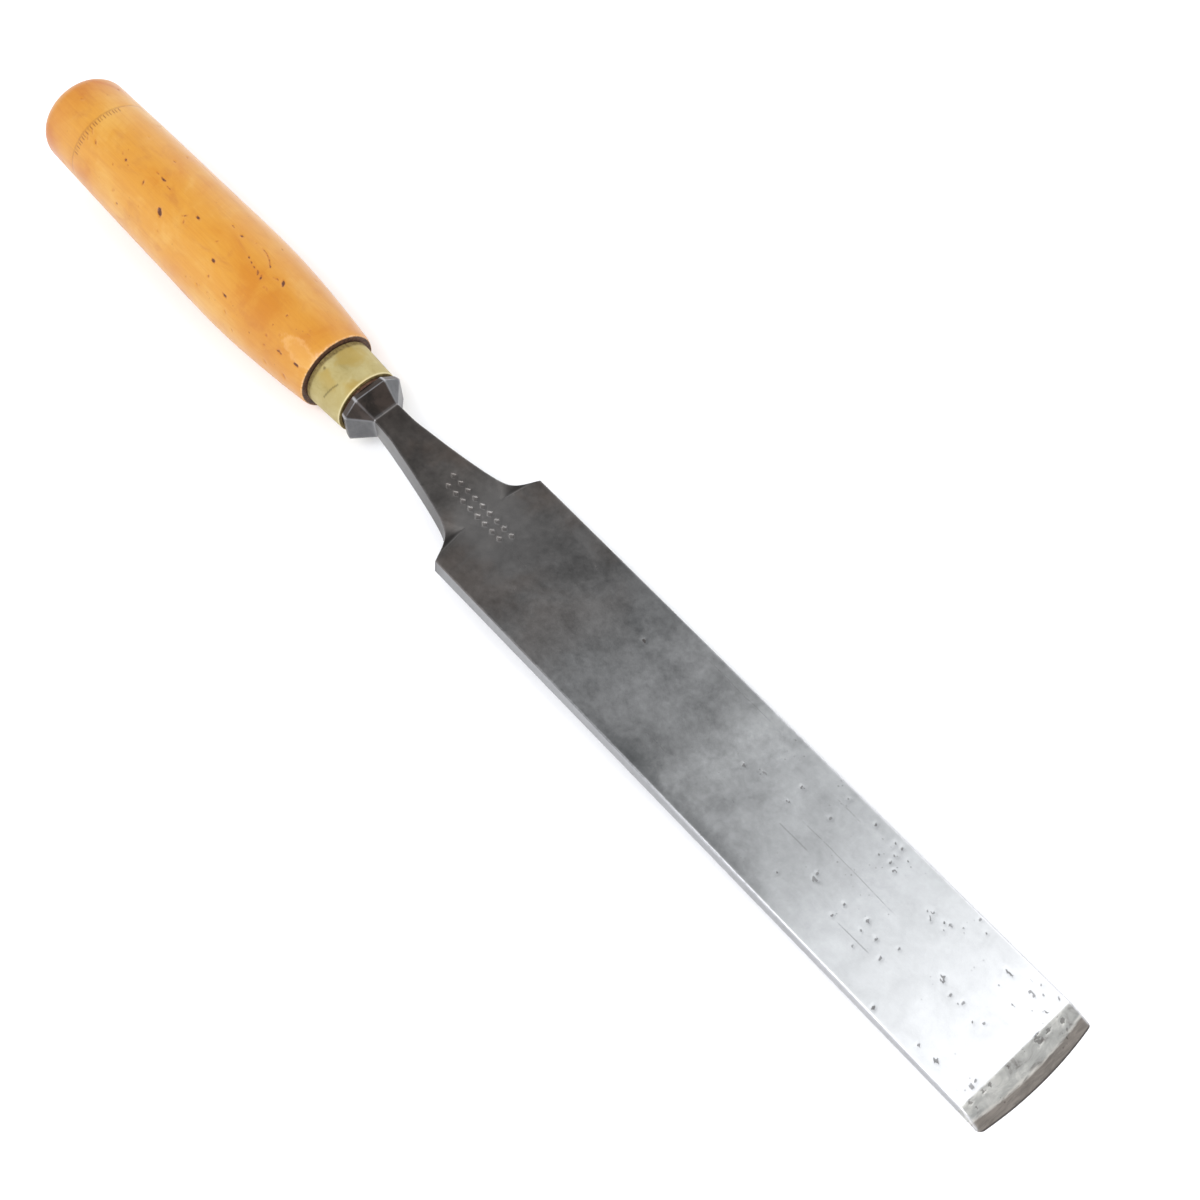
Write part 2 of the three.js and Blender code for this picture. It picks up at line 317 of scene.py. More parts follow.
def top_height(x, y):
    """(height, dirt, tone): the forging's upper face, how dirty it is and how dark the dirt is."""
    z = flat_height(x)
    ground = BEVEL_THICKNESS * (GROUND_BEVEL_END_X - x) / (GROUND_BEVEL_END_X - BEVEL_TOP_X)
    honed = (edge_x(y) - x) * HONED_SLOPE + EDGE_LAND
    bevel = softmin(ground, honed, 0.12)
    z = softmin(z, bevel, 0.14)
    z = z - hollow(x, y)[0]
    pit, dirt, tone = spots(ALL_PITS, x, y)
    chip, chipped, _ = spots(BEVEL_CHIPS, x, y)
    sunk = punches(x, y)
    room = np.clip(z / 1.0, 0, 1)
    wavy = 0.012 * waves(x, y * 1.8, 3) * smooth(-43, -30, x) - 0.012
    z = z + (wavy - pit - chip) * room - PUNCH_DEPTH * sunk
    tone = np.where(chipped > 0, 0.7, np.where(sunk > 0, 0.6, tone))
    return z, np.clip(np.maximum(dirt, 0.85 * chipped) + sunk, 0, 1), tone


def octagon(scale):
    hw, hh, top, side = BOLSTER_HALF_WIDTH, BOLSTER_HALF_HEIGHT, BOLSTER_TOP, BOLSTER_SIDE
    ring = [(-top, -hh), (top, -hh), (hw, -side), (hw, side),
            (top, hh), (-top, hh), (-hw, side), (-hw, -side)]
    return np.array(ring) * scale + (0, AXIS_Z)


def square(half):
    e = min(0.4, half * 0.3)
    ring = [(-half + e, -half), (half - e, -half), (half, -half + e), (half, half - e),
            (half - e, half), (-half + e, half), (-half, half - e), (-half, -half + e)]
    return np.array(ring) + (0, AXIS_Z)


def blade_ring(half_top, half_bottom, height, arris):
    """Eight corners of a blade or neck section; its four arrises are small chamfers."""
    e = min(arris, 0.32 * height)
    lean = (half_bottom - half_top) / height * e
    return np.array([
        (-half_bottom + e, 0), (half_bottom - e, 0), (half_bottom - lean, e),
        (half_top + lean, height - e), (half_top - e, height), (-half_top + e, height),
        (-half_top - lean, height - e), (-half_bottom + lean, e),
    ])


# Places of the columns of points on the upper face, as shares of its half width, denser in the
# middle, where the ornament is
TOP_SHARES = -np.concatenate([
    [-1, -0.988],
    np.linspace(-0.965, -0.355, 22, endpoint=False),
    np.linspace(-0.355, 0.355, 46, endpoint=False),
    np.linspace(0.355, 0.965, 22),
    [0.988, 1],
])
EDGE_SHARES = {
    "bottom": np.linspace(0, 1, 25)[:-1],
    "corner": np.array([0.0, 0.08, 0.92]),
    "side": np.array([0.0, 0.06, 0.3, 0.6, 0.94]),
    "top": ((1 - TOP_SHARES) / 2)[:-1],
}
EDGE_ORDER = ["bottom", "corner", "side", "corner", "top", "corner", "side", "corner"]


def rounded_loop(ring, radius):
    """Points round one section, and how near each is to an arris (1 on it).

    The arris at each of the ring's eight corners is rounded by a short curve."""
    points, near = [], []
    lengths = np.linalg.norm(np.roll(ring, -1, 0) - ring, axis=1)
    along = (np.roll(ring, -1, 0) - ring) / np.maximum(lengths, 1e-9)[:, None]
    cut = [min(radius, 0.42 * lengths[k - 1], 0.42 * lengths[k]) for k in range(8)]
    for k in range(8):
        start = ring[k] - along[k - 1] * cut[k]
        stop = ring[k] + along[k] * cut[k]
        points += [start, 0.25 * start + 0.5 * ring[k] + 0.25 * stop]
        near += [0.8, 1.0]
        last = ring[(k + 1) % 8] - along[k] * cut[(k + 1) % 8]
        shares = EDGE_SHARES[EDGE_ORDER[k]]
        span = np.linalg.norm(last - stop)
        for share in shares:
            points.append(stop + (last - stop) * share)
            near.append(0.8 * math.exp(-min(share, 1 - share) * span / 0.12))
    return np.array(points), np.array(near)


def edge_mask(edges):
    """1 at the points of a section that lie on the given edges of its ring, 0 elsewhere."""
    mask = []
    for k in range(8):
        ends_one = (k - 1) % 8 in edges
        starts_one = k in edges
        mask += [float(ends_one), float(ends_one and starts_one)]
        mask += [float(starts_one)] * len(EDGE_SHARES[EDGE_ORDER[k]])
    return np.array(mask)


def forging_sections():
    """(x, ring, rounding, bevel share) of each section from the tang's tip to the edge."""
    sections = []

    def add(x, ring, rounding=0.25, share=0.0):
        sections.append((x, ring, rounding, share))

    for share in (0.0, 0.004, 0.012, 0.1, 0.25, 0.4, 0.55, 0.7, 0.85, 0.97, 1.0):
        blunt = 0.55 + 0.45 * smooth(0, 0.012, share)
        half = (TANG_TIP + (TANG_ROOT - TANG_TIP) * share) * blunt
        add(TANG_TIP_X + (BOLSTER_BACK_X - TANG_TIP_X) * share, square(half))
    for x, scale in ((0, 0.62), (0, 0.925), (0.04, 0.945), (0.14, 0.957), (0.3, 0.963)):
        add(BOLSTER_BACK_X + x, octagon(scale))
    for x in (-50.4, -50.0, -49.7, -49.45, -49.32):
        share = (x - BOLSTER_BACK_X) / (BOLSTER_RIM_X - BOLSTER_BACK_X)
        add(x, octagon(BOLSTER_BACK_SCALE + (1 - BOLSTER_BACK_SCALE) * share))
    neck_x, neck_top, neck_bottom = NECK_STATIONS[0]
    neck = blade_ring(neck_top, neck_bottom, float(flat_height(neck_x)), 0.3)
    rim = octagon(1)
    for share in (0.0, 0.012, 0.04, 0.1, 0.2, 0.32, 0.44, 0.56, 0.68, 0.8, 0.88, 0.93, 0.965, 0.985):
        back = 0.994 if share == 0 else 1.0
        x = BOLSTER_RIM_X + (neck_x - BOLSTER_RIM_X) * share
        ring = rim + (neck - rim) * share
        add(x + (0.03 if share == 0 else 0), (ring - (0, AXIS_Z)) * back + (0, AXIS_Z))
    xs = np.concatenate([
        [-43.0, -42.85, -42.6, -42.2],
        np.arange(-41.6, -21.2, 0.75),
        np.arange(-20.9, -3.0, 0.25),
        np.arange(-2.9, 0.05, 0.1),
        [0.1, 0.25],
        np.arange(0.5, 12.0, 0.28),
        np.linspace(12.0, 190.6, 270),
        [190.85, 191.05, 191.2],
    ])
    for x in xs:
        height = float(flat_height(x))
        if x < 0:
            half_top = float(monotone(NECK_STATIONS[:, 0], NECK_STATIONS[:, 1], x))
            half_bottom = float(monotone(NECK_STATIONS[:, 0], NECK_STATIONS[:, 2], x))
        else:
            half_top, half_bottom = BLADE_HALF_WIDTH - SIDE_DRAFT * height, BLADE_HALF_WIDTH
        add(x, (half_top, half_bottom), 0.2)
    for share in np.concatenate([[0.006, 0.018, 0.035], np.linspace(0.06, 0.97, 25), [0.99, 1.0]]):
        add(BEVEL_TOP_X, (None, BLADE_HALF_WIDTH), 0.2, share)
    return sections


def build_forging():
    rows, near_rows, dirt_rows, tone_rows = [], [], [], []
    for x, ring, rounding, share in forging_sections():
        if isinstance(ring, tuple):
            half_top, half_bottom = ring
            if half_top is None:
                middle = BEVEL_TOP_X + (EDGE_X - BEVEL_TOP_X) * share
                height = float(top_height(np.array([middle]), np.array([0.0]))[0][0])
                half_top = half_bottom - SIDE_DRAFT * height
                at_side = BEVEL_TOP_X + (float(edge_x(half_bottom)) - BEVEL_TOP_X) * share
                side_height = float(top_height(np.array([at_side]), np.array([half_top]))[0][0])
            else:
                side_height = float(top_height(np.array([x]), np.array([half_top]))[0][0])
            ring = blade_ring(half_top, half_bottom, side_height, 0.22)
            loop, near = rounded_loop(ring, rounding)
            y = loop[:, 0]
            xs = np.full(len(loop), float(x))
            if share:
                inside = np.clip(y, -BLADE_HALF_WIDTH, BLADE_HALF_WIDTH)
                xs = BEVEL_TOP_X + (edge_x(inside) - BEVEL_TOP_X) * share
            top_start, top_stop = TOP_RANGE
            z = loop[:, 1].copy()
            face = slice(top_start, top_stop)
            z[face], _, _ = top_height(xs[face], y[face])
            _, dirt, tone = top_height(xs, y)
            dirt = np.where(z > 0.3 * side_height, dirt, 0)
        else:
            loop, near = rounded_loop(ring, rounding)
            xs, y, z = np.full(len(loop), float(x)), loop[:, 0], loop[:, 1]
            dirt, tone = np.zeros(len(loop)), np.zeros(len(loop))
        rows.append(np.stack([xs, y, z], -1))
        near_rows.append(near)
        dirt_rows.append(dirt)
        tone_rows.append(tone)
    points = np.concatenate(rows)
    near = np.concatenate(near_rows)
    dirt, tone = np.concatenate(dirt_rows), np.concatenate(tone_rows)
    count = len(rows[0])
    quads = grid_quads(len(rows), count)
    x, y, z = points.T
    # Arrises rubbed bright: partly real rubbing and partly painted highlight
    wear_and_highlight = near * smooth(-54, -50, x)
    wear_and_highlight = wear_and_highlight * (1 - 0.88 * smooth(-49.1, -48.8, x) * (x < -43.1))
    # Painted highlight on the bolster's rim: a light line, much brighter along its top
    rim = np.exp(-((x - BOLSTER_RIM_X) / 0.12) ** 2) * (x < -48.9)
    wear_and_highlight = np.maximum(wear_and_highlight, rim * (0.15 + 0.55 * (z > AXIS_Z + 7)))
    wear_and_highlight = np.maximum(wear_and_highlight, np.exp(-((x + 43.0) / 0.45) ** 2) * 0.3 * (np.abs(y) < 5))
    on_top = np.tile(edge_mask({4}), len(rows))
    # Painted shade in the hollows, on the shoulders' upper face
    hollow_shade = hollow(x, y)[1] * on_top * (x > -16) * (x < 0.05)
    caps = [list(range(count)), list(range((len(rows) - 1) * count, len(rows) * count))[::-1]]
    attributes = {
        "wear_and_highlight": wear_and_highlight, "dirt": dirt, "tone": tone, "hollow": hollow_shade,
        "facet": np.tile(edge_mask({4, 5}), len(rows)) * (x < -43.1),
        "side": np.tile(edge_mask({2, 6}), len(rows)) * (x > -44.0),
    }
    return make_mesh("chisel_forging", points, quads, caps, attributes, 40)


def top_range():
    """Where the upper face's own points start and stop in a loop."""
    start = sum(2 + len(EDGE_SHARES[e]) for e in EDGE_ORDER[:4]) + 2
    return start, start + len(EDGE_SHARES["top"]) + 1


TOP_RANGE = top_range()


# ------------------------------------------------------------------ handle
# Dents and nicks in the wood: x, angle from the top towards +Y in degrees, length, width,
# turn in degrees, depth, darkness
HANDLE_MARKS = [
    (-135, -32, 3.6, 1.7, -38, 0.42, 1.0), (-145, -3, 1.9, 0.6, 0, 0.15, 0.5),
    (-142, -3.5, 3.2, 0.9, -4, 0.2, 0.75), (-138.5, -6.5, 3.0, 0.6, -5, 0.15, 0.55),
    (-124, -7, 3.0, 0.9, 0, 0.2, 0.75), (-110, -27, 2.2, 1.2, -12, 0.25, 0.85),
    (-108.5, -43, 1.4, 1.0, 20, 0.18, 0.6), (-100.5, -45.5, 2.6, 0.9, -4, 0.2, 0.8),
    (-76.5, -51, 2.6, 1.0, -4, 0.22, 0.85), (-70, -49, 2.5, 1.0, 0, 0.22, 0.85),
    (-90, 9.5, 2.9, 1.1, -42, 0.28, 1.0), (-92, 7.5, 1.6, 0.7, 25, 0.15, 0.6),
    (-156, -18, 1.5, 1.2, -30, 0.2, 0.75), (-158.5, -14.5, 2.2, 0.6, -40, 0.1, 0.35),
    (-146, -22, 2.2, 0.9, -60, 0.2, 0.7), (-126.5, -20.5, 1.8, 0.8, -55, 0.15, 0.55),
    (-127.5, -15, 2.8, 0.7, 45, 0.12, 0.5), (-168.5, -28, 2.3, 0.9, -30, 0.16, 0.55),
    (-146, 22, 1.6, 0.7, 0, 0.14, 0.5), (-110.5, 13, 1.6, 1.1, 20, 0.18, 0.75),
    (-115, 14.5, 2.2, 0.7, -6, 0.14, 0.55), (-92.5, -9, 1.2, 0.9, 30, 0.15, 0.5),
]
# A chain of small nicks across the grain: x and angle of its ends, and how many
NICK_CHAIN = ((-103, 2), (-95.5, -3.5), 5)
# A long scratch, as points of x and angle
HANDLE_SCRATCH = [(-103.3, 20.7), (-100.8, 19.4), (-98.4, 15.4), (-96.5, 11.1)]
LINE_X = -174.2  # the fine turned line round the butt end, and the ticks beside it
TICK_ANGLES = np.arange(-56.0, 24.0, 4.0)
TICK_LENGTH = 1.3
WORN_PATCH = (-70.8, -34.0, 6.2, 12.0)  # x, angle, half length, half width in degrees
HANDLE_SEGMENTS = 232
HANDLE_PITCH = 0.42
LINE_SUNK = 0.16
PATCH_SUNK = 0.07
OUTLINE_SUNK = 0.03
WOOD_MARGIN = 0.065  # keeps the wavy surface inside the true round


def barrel_radius(x):
    return monotone(BARREL[:, 0], BARREL[:, 1], HANDLE_STEP_X - np.asarray(x, float))


def handle_profile():
    """[x, radius] from the butt's middle to the socket's mouth, densest on the barrel."""
    barrel_end_x = HANDLE_STEP_X - BARREL[-1, 0]
    end_radius = BARREL[-1, 1]
    profile = []
    for angle in np.linspace(0.02, math.pi / 2, 34)[:-1]:
        out = math.sin(angle) ** (2 / DOME_POWER)
        along = math.cos(angle) ** (2 / DOME_POWER)
        profile.append((barrel_end_x - DOME_DEPTH * along, end_radius * out))
    count = int(BARREL[-1, 0] / HANDLE_PITCH)
    for x in np.linspace(barrel_end_x, HANDLE_STEP_X - 0.6, count):
        profile.append((x, float(barrel_radius(x))))
    rim = float(BARREL[1, 1])
    profile += [(-66.42, rim), (-66.25, rim - 0.03), (-66.1, rim - 0.12), (-66.02, rim - 0.27)]
    inner_back = FERRULE_BACK_RADIUS - FERRULE_WALL - GAP
    inner_front = FERRULE_FRONT_RADIUS - FERRULE_WALL - GAP
    profile += [(HANDLE_STEP_X, rim - 0.5), (HANDLE_STEP_X, 10.9), (HANDLE_STEP_X, 10.1)]
    profile += [(HANDLE_STEP_X, inner_back + 0.1), (-65.9, inner_back)]
    profile += [(-52.2, inner_front + 0.02), (-51.5, inner_front), (-51.38, inner_front - 0.05)]
    profile += [(TENON_FRONT_X, inner_front - 0.2), (TENON_FRONT_X, 6.6)]
    return np.array(profile)


def handle_marks(x, angle, radius):
    """(depth, darkness) of the dents and nicks at the points of the handle."""
    depth, dark = np.zeros(x.shape), np.zeros(x.shape)
    rng = np.random.default_rng(11)
    marks = list(HANDLE_MARKS)
    (x0, a0), (x1, a1), count = NICK_CHAIN
    for share in np.linspace(0, 1, count):
        length = rng.uniform(1.5, 2.6)
        marks.append((x0 + (x1 - x0) * share, a0 + (a1 - a0) * share + rng.uniform(-1.5, 1.5),
                      length, 0.4 * length, rng.uniform(-65, -15), 0.18, 0.7))
    for number, low, high, biggest, darkest in ((46, 72, 180, 2.6, 0.9), (40, 0, 66, 1.9, 0.7)):
        for _ in range(number):
            place = rng.uniform(-184, -70), rng.choice([-1, 1]) * rng.uniform(low, high)
            size = rng.uniform(0.9, biggest)
            marks.append((*place, size, size * rng.uniform(0.3, 0.7), rng.uniform(-60, 60),
                          rng.uniform(0.08, 0.09 * biggest), rng.uniform(0.3, darkest)))
    for mx, ma, length, width, turn, deep, darkness in marks:
        dx = x - mx
        dv = np.radians((angle - ma + 180) % 360 - 180) * radius
        near = (np.abs(dx) < 1.6 * length) & (np.abs(dv) < 1.6 * length)
        c, s = math.cos(math.radians(turn)), math.sin(math.radians(turn))
        u = (c * dx[near] + s * dv[near]) / (length / 2)
        v = (c * dv[near] - s * dx[near]) / (width / 2)
        ragged = 0.16 * waves(x[near] * 3, dv[near] * 3, 5, 4, 4.0)
        fall = 1 - smooth(0.4, 1.2, np.hypot(u, v) + ragged)
        depth[near] = np.maximum(depth[near], deep * fall)
        dark[near] = np.maximum(dark[near], darkness * fall)
    for (x0, a0), (x1, a1) in zip(HANDLE_SCRATCH, HANDLE_SCRATCH[1:]):
        px, pv = x - x0, np.radians(angle - a0) * radius
        ex, ev = x1 - x0, math.radians(a1 - a0) * 15.4
        t = np.clip((px * ex + pv * ev) / (ex * ex + ev * ev), 0, 1)
        away = np.hypot(px - ex * t, pv - ev * t)
        fall = 1 - smooth(0.1, 0.42, away)
        depth = np.maximum(depth, 0.1 * fall)
        dark = np.maximum(dark, 0.55 * fall)
    return depth, dark


def turned_line(x, angle):
    """The fine line cut round the butt end and the row of even ticks beside it, from 0 to 1."""
    line = 1 - smooth(0.1, 0.35, np.abs(x - LINE_X))
    cut = 0.5 * line
    near = np.abs(x - LINE_X - 0.5 - TICK_LENGTH / 2)
    along = 1 - smooth(TICK_LENGTH / 2, TICK_LENGTH / 2 + 0.25, near)
    for at in TICK_ANGLES:
        across = np.abs(np.radians(angle - at) * BARREL[-1, 1])
        cut = np.maximum(cut, 0.6 * (1 - smooth(0.08, 0.3, across)) * along)
    return cut


def worn_patch(x, angle):
    """(how worn, outline) of the scalloped patch of worn varnish near the front of the barrel."""
    px, pa, half_x, half_a = WORN_PATCH
    away = np.hypot((x - px) / half_x, (angle - pa) / half_a)
    away = away + 0.38 * waves(x, angle * 0.25, 8, 6, 6.0)
    return 1 - smooth(0.72, 0.98, away), np.exp(-((away - 0.9) / 0.14) ** 2)


def build_handle():
    profile = handle_profile()
    angles = np.linspace(0, 360, HANDLE_SEGMENTS, endpoint=False)
    x = np.repeat(profile[:, 0], HANDLE_SEGMENTS)
    radius = np.repeat(profile[:, 1], HANDLE_SEGMENTS)
    angle = np.tile((angles + 180) % 360 - 180, len(profile))
    outside = np.repeat(
        (profile[:, 0] < HANDLE_STEP_X - 0.01).astype(float), HANDLE_SEGMENTS
    )
    depth, dark = handle_marks(x, angle, radius)
    line = turned_line(x, angle) * (x < -170)
    worn, outline = worn_patch(x, angle)
    around = angle / 360 * 96
    wobble = 0.05 * waves(x * 0.6, np.sin(np.radians(angle)) * 15, 2, 6, 60.0)
    wobble += 0.015 * waves(x, around, 9, 5, 9.0) * np.cos(np.radians(angle / 2)) ** 2
    inward = outside * (depth + LINE_SUNK * line + PATCH_SUNK * worn + OUTLINE_SUNK * outline)
    inward = inward + outside * (WOOD_MARGIN - wobble)
    radius = radius - inward * smooth(0, 6, radius)
    theta = np.radians(angle)
    points = np.stack([x, radius * np.sin(theta), AXIS_Z + radius * np.cos(theta)], -1)
    quads = grid_quads(len(profile), HANDLE_SEGMENTS, True)
    first = list(range(HANDLE_SEGMENTS))
    # Socket for the tang: the square hole's walls, and the flat ring round its mouth
    slope = (TANG_ROOT - TANG_TIP) / (BOLSTER_BACK_X - TANG_TIP_X)
    rows = []
    for depth_x in (TENON_FRONT_X, TANG_TIP_X - GAP):
        half = TANG_ROOT + slope * (depth_x - BOLSTER_BACK_X) + GAP
        across, up = np.sin(np.radians(angles)), np.cos(np.radians(angles))
        reach = half / np.maximum(np.abs(across), np.abs(up))
        rows.append(np.stack([np.full(len(angles), depth_x), across * reach, AXIS_Z + up * reach], -1))
    base = len(points) - HANDLE_SEGMENTS
    points = np.concatenate([points, *rows])
    quads = np.concatenate([quads, base + grid_quads(3, HANDLE_SEGMENTS, True)])
    last = list(range(len(points) - HANDLE_SEGMENTS, len(points)))[::-1]
    socket = np.zeros(2 * HANDLE_SEGMENTS)

    def tail(values):
        return np.concatenate([values, socket])

    step = (points[:, 0] > HANDLE_STEP_X - 0.05).astype(float)
    # Painted highlight: a light line round the arris of the barrel's front rim
    arris = np.exp(-((x + 66.2) / 0.22) ** 2) * outside
    attributes = {
        "dark": tail(dark * outside), "line": tail(line * outside), "arris": tail(arris),
        "worn": tail(worn * outside), "outline": tail(outline * outside), "step": step,
    }
    return make_mesh("chisel_handle", points, quads, [first, last], attributes, 50)


# ------------------------------------------------------------------ ferrule
FERRULE_SEGMENTS = 224
# A scratch, as points of x and distance round from the top
FERRULE_SCRATCH = [(-58.9, -11.6), (-58.2, -9.2), (-57.6, -7.2), (-56.9, -5.6)]


def build_ferrule():
    back, front, r = FERRULE_BACK_X, FERRULE_FRONT_X, FERRULE_ROUNDING
    slope = (FERRULE_FRONT_RADIUS - FERRULE_BACK_RADIUS) / (front - back)

    def outer(x):
        return FERRULE_BACK_RADIUS + slope * (x - back)

    def inner(x):
        return outer(x) - FERRULE_WALL

    profile = [(back, inner(back)), (back, outer(back) - r)]
    for turn in (0.3, 0.6, 0.85):
        a = turn * math.pi / 2
        profile.append((back + r * (1 - math.cos(a)), outer(back) - r * (1 - math.sin(a))))
    for x in np.linspace(back + r, front - r, 40):
        profile.append((x, outer(x)))
    for turn in (0.85, 0.6, 0.3, 0.0):
        a = turn * math.pi / 2
        profile.append((front - r * (1 - math.cos(a)), outer(front) - r * (1 - math.sin(a))))
    profile += [(front, inner(front)), (front - 3, inner(front - 3)), (back + 3, inner(back + 3))]
    profile = np.array(profile)
    count = len(profile)
    angles = np.linspace(0, 360, FERRULE_SEGMENTS, endpoint=False)
    x = np.repeat(profile[:, 0], FERRULE_SEGMENTS)
    radius = np.repeat(profile[:, 1], FERRULE_SEGMENTS)
    angle = np.tile((angles + 180) % 360 - 180, count)
    place = np.arange(count)
    on_outside = np.repeat((place > 2) & (place < count - 5), FERRULE_SEGMENTS)
    across = np.radians(angle) * radius
    dot = 1 - smooth(0.2, 0.6, np.hypot(x + 63.4, across + 5.0))
    scratch = np.zeros(x.shape)
    for (x0, v0), (x1, v1) in zip(FERRULE_SCRATCH, FERRULE_SCRATCH[1:]):
        ex, ev = x1 - x0, v1 - v0
        t = np.clip(((x - x0) * ex + (across - v0) * ev) / (ex * ex + ev * ev), 0, 1)
        away = np.hypot(x - x0 - ex * t, across - v0 - ev * t)
        scratch = np.maximum(scratch, 1 - smooth(0.08, 0.34, away))
    wobble = 0.012 * waves(x, np.sin(np.radians(angle)) * 12, 21, 6, 14.0) - 0.014
    radius = radius + on_outside * (wobble - 0.12 * dot - 0.05 * scratch)
    theta = np.radians(angle)
    points = np.stack([x, radius * np.sin(theta), AXIS_Z + radius * np.cos(theta)], -1)
    quads = grid_quads(count, FERRULE_SEGMENTS, True)
    i, j = np.arange(FERRULE_SEGMENTS), (np.arange(FERRULE_SEGMENTS) + 1) % FERRULE_SEGMENTS
    end = (count - 1) * FERRULE_SEGMENTS
    close = np.stack([i, j, end + j, end + i], -1)
    ragged = x + 0.25 * waves(x, across, 4, 4, 9.0)
    band = np.where(on_outside, 1 - smooth(back + 1.1, back + 1.9, ragged), 1.0)
    rim = np.exp(-((x - (front - 0.32)) / 0.22) ** 2) * on_outside
    attributes = {"mark": np.maximum(dot, scratch) * on_outside, "band": band, "rim": rim}
    return make_mesh("chisel_ferrule", points, np.concatenate([quads, close]), [], attributes, 50)


# ------------------------------------------------------------------ node helper
class Nodes:
    """Short names for making and joining shader nodes."""

    def __init__(self, material):
        material.use_nodes = True
        self.tree = material.node_tree
        self.tree.nodes.clear()
        self.output = self.add("ShaderNodeOutputMaterial")

    def add(self, kind, **settings):
        node = self.tree.nodes.new(kind)
        for key, value in settings.items():
            setattr(node, key, value)
        return node

    def put(self, socket, value):
        """Joins an output to socket, or sets socket to a plain value."""
        if isinstance(value, bpy.types.NodeSocket):
            self.tree.links.new(value, socket)
        elif value is not None:
            socket.default_value = value

    def math(self, operation, a, b=None, c=None, clamp=False):
        node = self.add("ShaderNodeMath", operation=operation, use_clamp=clamp)
        for socket, value in zip(node.inputs, (a, b, c)):
            self.put(socket, value)
        return node.outputs[0]

    def span(self, value, low, high, to_low=0.0, to_high=1.0):
        """Maps low..high of value smoothly to to_low..to_high."""
        node = self.add("ShaderNodeMapRange", interpolation_type="SMOOTHSTEP")
        for socket, given in zip(node.inputs, (value, low, high, to_low, to_high)):
            self.put(socket, given)
        return node.outputs[0]

    def mix(self, factor, a, b, mode="MIX"):
        node = self.add("ShaderNodeMix", data_type="RGBA", blend_type=mode, clamp_factor=True)
        self.put(node.inputs[0], factor)
        self.put(node.inputs[6], a)
        self.put(node.inputs[7], b)
        return node.outputs[2]

    def ramp(self, value, stops):
        node = self.add("ShaderNodeValToRGB")
        ramp = node.color_ramp
        ramp.interpolation = "EASE"
        while len(ramp.elements) < len(stops):
            ramp.elements.new(0.5)
        for element, (at, colour) in zip(ramp.elements, stops):
            element.position = at
            element.color = (*colour, 1)
        self.put(node.inputs[0], value)
        return node.outputs[0]

    def attribute(self, name):
        return self.add("ShaderNodeAttribute", attribute_name=name).outputs["Fac"]

    def tool_place(self):
        """The point's place in the tool's own frame, in millimetres."""
        coordinates = self.add("ShaderNodeTexCoord").outputs["Object"]
        node = self.add("ShaderNodeMapping", vector_type="TEXTURE")
        self.put(node.inputs["Vector"], coordinates)
        node.inputs["Location"].default_value = ORIGIN
        node.inputs["Rotation"].default_value = (0, TILT, 0)
        node.inputs["Scale"].default_value = (MM, MM, MM)
        return node.outputs[0]

    def stretched(self, place, scale, turn=0.0):
        node = self.add("ShaderNodeMapping")
        self.put(node.inputs["Vector"], place)
        node.inputs["Rotation"].default_value = (0, 0, math.radians(turn))
        node.inputs["Scale"].default_value = scale
        return node.outputs[0]

    def noise(self, place, scale, detail=4.0, rough=0.5, twist=0.0):
        node = self.add("ShaderNodeTexNoise")
        self.put(node.inputs["Vector"], place)
        node.inputs["Scale"].default_value = scale
        node.inputs["Detail"].default_value = detail
        node.inputs["Roughness"].default_value = rough
        node.inputs["Distortion"].default_value = twist
        return node.outputs[0]

    def specks(self, place, scale, size):
        """Small round specks, 1 inside and 0 outside."""
        node = self.add("ShaderNodeTexVoronoi")
        self.put(node.inputs["Vector"], place)
        node.inputs["Scale"].default_value = scale
        return self.span(node.outputs["Distance"], size, size * 0.45)

    def bump(self, height, distance, strength=1.0, normal=None):
        node = self.add("ShaderNodeBump")
        node.inputs["Strength"].default_value = strength
        node.inputs["Distance"].default_value = distance
        self.put(node.inputs["Height"], height)
        self.put(node.inputs["Normal"], normal)
        return node.outputs[0]

    def shader(self, colour, roughness, normal, **settings):
        node = self.add("ShaderNodeBsdfPrincipled")
        self.put(node.inputs["Base Color"], colour)
        self.put(node.inputs["Roughness"], roughness)
        self.put(node.inputs["Normal"], normal)
        for key, value in settings.items():
            node.inputs[key.replace("_", " ")].default_value = value
        self.tree.links.new(node.outputs[0], self.output.inputs["Surface"])


# ------------------------------------------------------------------ materials
def line_mask(n, x, y, x0, x1, at, width):
    """A long fine scratch from x0 to x1 at height `at` across the blade."""
    across = n.math("ABSOLUTE", n.math("SUBTRACT", y, at))
    inside = n.span(across, width, width * 0.3)
    middle, half = (x0 + x1) / 2, (x1 - x0) / 2
    along = n.math("ABSOLUTE", n.math("SUBTRACT", x, middle))
    return n.math("MULTIPLY", inside, n.span(along, half, half * 0.7))


BLADE_SCRATCHES = [
    (68.0, 94.0, 15.6, 0.22), (73.0, 81.0, -9.6, 0.24), (114.0, 150.0, 3.15, 0.2),
    (8.0, 21.0, -1.7, 0.2), (118.0, 127.0, 13.6, 0.2), (112.0, 124.0, -1.4, 0.3),
    (140.0, 152.0, -8.6, 0.25),
]


